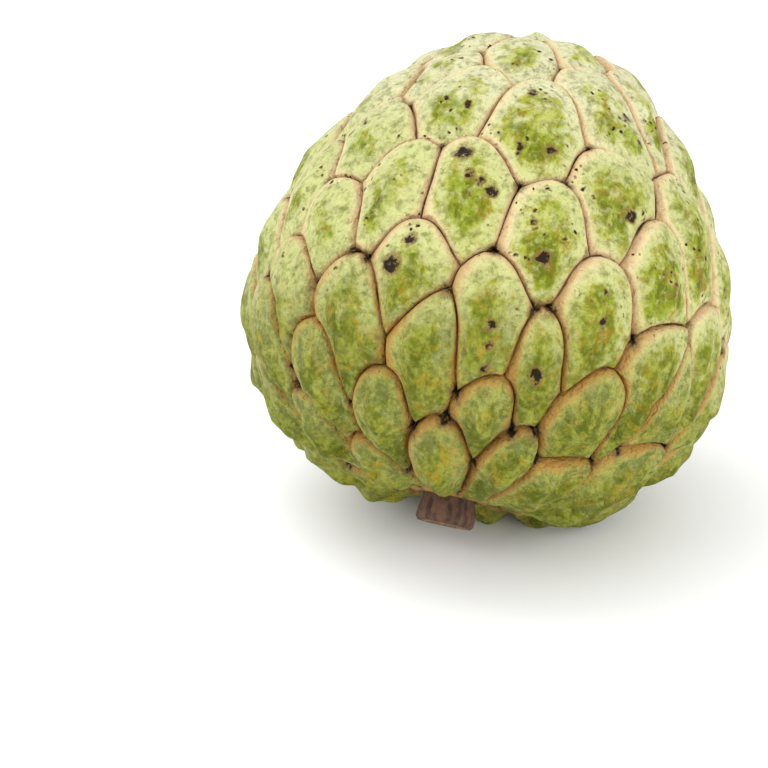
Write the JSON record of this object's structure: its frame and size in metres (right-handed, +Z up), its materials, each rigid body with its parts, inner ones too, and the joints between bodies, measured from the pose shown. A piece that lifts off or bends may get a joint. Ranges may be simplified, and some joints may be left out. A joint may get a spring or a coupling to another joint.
{
  "type": "custard apple",
  "caption": "Whole scaly green custard apple lying on its stem side, with a short woody stem stub seated in the dimple at its stem end.",
  "frame": {"origin": "middle of the bounding box of the resting fruit, on the surface that it rests on", "axes": "+Z up, -Y towards the viewer's side, where the stem stub faces down and forward; the fruit's tip leans back along +Y and slightly to +X"},
  "size_m": [0.0879, 0.0868, 0.0861],
  "materials": {
    "fruit_skin": "leathery green scales with a pale waxy bloom, cream rims and thin brown cracks",
    "stem_wood": "dry rough brown bark with a fibrous cut end"
  },
  "bodies": {
    "root": {"fruit": "fruit_skin", "stem_stub": "stem_wood"}
  },
  "joints": []
}
